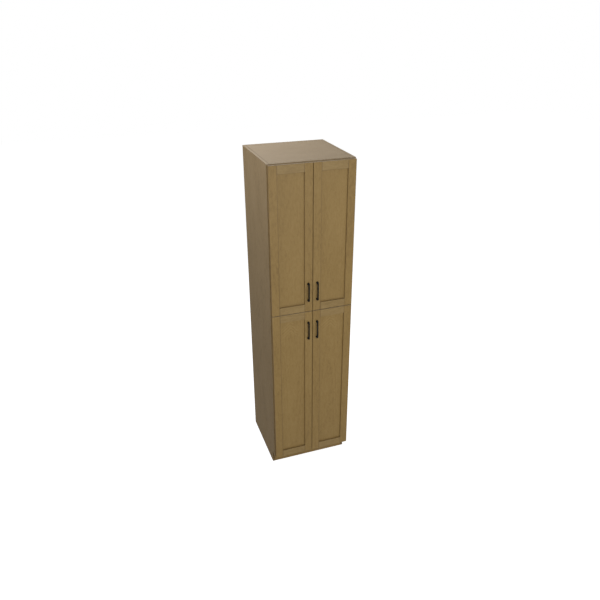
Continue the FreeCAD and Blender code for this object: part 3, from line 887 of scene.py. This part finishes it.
def bumpers(node):
    """Clear domes that the doors close against."""
    domes = bmesh.new()
    for low, high in solids_of(node):
        middle = (low + high) / 2
        radius, height = (high.x - low.x) / 2, high.y - low.y
        rings = []
        for share, rise in DOME:
            rings.append([
                domes.verts.new((
                    middle.x + aside * radius * share, high.y - height * rise,
                    middle.z + above * radius * share,
                ))
                for aside, above in circle(28)
            ])
        bridge(domes, rings)
        domes.faces.new(rings[0])
        domes.faces.new(rings[-1])
    bmesh.ops.recalc_face_normals(domes, faces=domes.faces[:])
    mesh = mesh_of(domes, f"{node}_domes")
    smooth(mesh)
    piece = finish_piece(mesh, f"{node}_domes", node, "bumper", [FINISH["bumper"]])
    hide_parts(node)


for node in NODES:
    if node.endswith(("_hinge_cups", "_hinge_arms")) or node == "shelf_pins":
        pressed(node)
bumpers("door_bumpers")


# Screws

SCREW_HEAD = ((1.0, 0.0), (1.0, 0.45), (0.94, 0.75), (0.8, 1.0))
CROSS_ARM, CROSS_HALF, CROSS_SHARE, CROSS_RISE = 0.55, 0.13, 0.7, 0.3
PIVOT_X, PIVOT_FROM_BACK = 294.0 * MM, 9.5 * MM
CUP_FROM_PIVOT, PLATE_FROM_PIVOT, CUP_SCREWS_UP = 22.9 * MM, 10.7 * MM, 24 * MM
FLANGE_X, ARM_SCREWS_UP = 265.2 * MM, 13 * MM


def screw_mesh(name, places, radius, height):
    """Pan-head screws with a cross recess, each at a point with the way that its head faces."""
    screws = bmesh.new()
    arm, half = radius * CROSS_ARM, radius * CROSS_HALF
    corner = [(half, arm), (half, half), (arm, half)]
    cross = [
        *corner, *((x, -y) for x, y in reversed(corner)),
        *((-x, -y) for x, y in corner), *((-x, y) for x, y in reversed(corner)),
    ]
    for point, facing in places:
        turn = facing.to_track_quat("Z", "Y").to_matrix()

        def at(x, y, z):
            return screws.verts.new(point + turn @ Vector((x, y, z)))

        rings = []
        for share, rise in SCREW_HEAD:
            rings.append([
                at(aside * radius * share, above * radius * share, height * rise)
                for aside, above in circle(24)
            ])
        bridge(screws, rings)
        screws.faces.new(rings[0][::-1])
        mouth = [at(x, y, height) for x, y in cross]
        deep = [at(x * CROSS_SHARE, y * CROSS_SHARE, height * CROSS_RISE) for x, y in cross]
        bridge(screws, [mouth, deep])
        screws.faces.new(deep)
        border = []
        for loop in (rings[-1], mouth):
            for step in range(len(loop)):
                ends = (loop[step], loop[(step + 1) % len(loop)])
                border.append(screws.edges.get(ends) or screws.edges.new(ends))
        bmesh.ops.triangle_fill(screws, use_beauty=True, edges=border)
    bmesh.ops.recalc_face_normals(screws, faces=screws.faces[:])
    mesh = mesh_of(screws, name)
    smooth(mesh)
    return mesh


def heights_of_hinges(door):
    """Heights of a door's hinges, read from the spans of its cups."""
    apart = 0.1
    corners = NODES[f"{door}_hinge_cups"].data.vertices
    found = sorted({round(vertex.co.z, 4) for vertex in corners})
    middles, start = [], found[0]
    for low, high in zip(found, found[1:] + [math.inf]):
        if high - low > apart:
            middles.append((start + low) / 2)
            start = high
    return middles


def place_screws(name, body, places, radius, height):
    """A piece of plated screws that rides on a body."""
    mesh = screw_mesh(name, places, radius, height)
    finish_piece(mesh, name, body, "hinge_metal", [FINISH["hinge_metal"]])


pivot_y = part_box("upper_left_door_hinge_stile")[1].y - PIVOT_FROM_BACK
frame_y = sum(corner.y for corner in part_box("left_frame_stile")) / 2
for door in DOORS:
    side = -1 if "left" in door else 1
    inward = Vector((-side, 0, 0))
    cup_screws, arm_screws = [], []
    for height in heights_of_hinges(door):
        pivot = Vector((side * PIVOT_X, pivot_y, height))
        for way in (-1, 1):
            plate = inward * CUP_FROM_PIVOT + Vector((0, PLATE_FROM_PIVOT, way * CUP_SCREWS_UP))
            cup_screws.append((pivot + plate, UNIT[Y]))
            flange = Vector((side * FLANGE_X, frame_y, height + way * ARM_SCREWS_UP))
            arm_screws.append((flange, inward))
    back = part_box(f"{door}_meeting_stile")[1].y
    middle = handle_places[door]
    handle_screws = [
        (Vector((middle.x, back, middle.z + way * FEET_APART / 2 * MM)), UNIT[Y]) for way in (-1, 1)
    ]
    place_screws(f"{door}_cup_screws", door, cup_screws, 3.6 * MM, 1.5 * MM)
    place_screws(f"{door}_arm_screws", "cabinet", arm_screws, 3.4 * MM, 1.5 * MM)
    place_screws(f"{door}_handle_screws", door, handle_screws, 3.9 * MM, 2.0 * MM)


# Floor, light and camera

def floor():
    """A pale floor that shows white to the camera and to reflections, less the object's shadow."""
    half, below, grey = 14.0, 0.5 * MM, 0.36
    corners = [(-half, -half, 0), (half, -half, 0), (half, half, 0), (-half, half, 0)]
    mesh = bpy.data.meshes.new("studio_floor")
    mesh.from_pydata(corners, [], [(0, 1, 2, 3)])
    piece = bpy.data.objects.new("studio_floor", mesh)
    piece.location.z = -below
    bpy.context.scene.collection.objects.link(piece)
    tree = Material("pale_floor")
    tree.shade(Base_Color=(grey, grey, grey, 1.0), Roughness=0.9, Specular_IOR_Level=0.0)
    lit = tree.shader.outputs[0]
    glow = tree.node("ShaderNodeEmission", Color=WHITE, Strength=0.92).outputs[0]
    both = tree.joined("ShaderNodeAddShader", lit, glow)
    shown = tree.joined("ShaderNodeMixShader", tree.seen_directly(), lit, both)
    tree.put(tree.nodes["Material Output"].inputs["Surface"], shown)
    mesh.materials.append(tree.material)


def lamp(name, place, target, size, power, colour=(1.0, 1.0, 1.0)):
    """A soft square lamp aimed at a point, with its size in metres and its power in watts."""
    data = bpy.data.lights.new(name, "AREA")
    data.shape = "SQUARE"
    data.size = size
    data.energy = power
    data.color = colour
    piece = bpy.data.objects.new(name, data)
    piece.location = place
    aim = Vector(target) - Vector(place)
    piece.rotation_euler = aim.to_track_quat("-Z", "Y").to_euler()
    bpy.context.scene.collection.objects.link(piece)


def world():
    """Even white light, and plain white where the camera or a reflection looks past the floor."""
    made = bpy.data.worlds.new("studio")
    bpy.context.scene.world = made
    made.use_nodes = True
    made.node_tree.nodes.clear()
    tree = Tree(made.node_tree)
    light = tree.node("ShaderNodeBackground", Color=WHITE, Strength=0.25).outputs[0]
    plain = tree.node("ShaderNodeBackground", Color=WHITE, Strength=1.0).outputs[0]
    shown = tree.joined("ShaderNodeMixShader", tree.seen_directly(), light, plain)
    tree.node("ShaderNodeOutputWorld", Surface=shown)


def camera():
    """The photograph's camera, as fitted to the cabinet's edges: high, and to its left."""
    down, turn, roll = (math.radians(angle) for angle in (26.551, 19.710, 0.077))
    data = bpy.data.cameras.new("camera")
    data.lens = 35.377
    data.sensor_width = 36.0
    data.shift_x = -0.0131
    data.shift_y = 0.0021
    data.clip_end = 60.0
    piece = bpy.data.objects.new("camera", data)
    piece.matrix_world = (
        Matrix.Translation((-1.29423, -3.81454, 3.31567))
        @ Matrix.Rotation(-turn, 4, "Z")
        @ Matrix.Rotation(math.pi / 2 - down, 4, "X")
        @ Matrix.Rotation(roll, 4, "Z")
    )
    bpy.context.scene.collection.objects.link(piece)
    bpy.context.scene.camera = piece


floor()
world()
lamp("low_front_light", (0.2, -4.4, 1.5), target=(0, -0.3, 1.2), size=2.4, power=44.5)
lamp("high_front_light", (-0.4, -4.2, 3.0), target=(0, -0.3, 1.3), size=2.4, power=39.5)
lamp("right_light", (1.8, -3.4, 3.4), target=(0, -0.3, 1.4), size=2.0, power=21.5)
lamp(
    "left_light", (-1.9, -0.35, 3.4), target=(-0.3, 0, 1.9), size=1.2, power=26.5,
    colour=(0.95, 1.06, 1.5),
)
lamp(
    "top_light", (-0.6, 1.1, 4.1), target=(-0.1, 0.1, 2.3), size=1.6, power=38.0,
    colour=(0.98, 1.0, 1.05),
)
lamp("right_fill", (3.3, 0.9, 1.9), target=(0.3, 0.1, 1.2), size=1.8, power=32.0)
lamp("back_fill", (0.4, 3.8, 1.9), target=(0, 0.3, 1.2), size=1.8, power=16.0)
camera()
bpy.context.scene.view_settings.view_transform = "Standard"
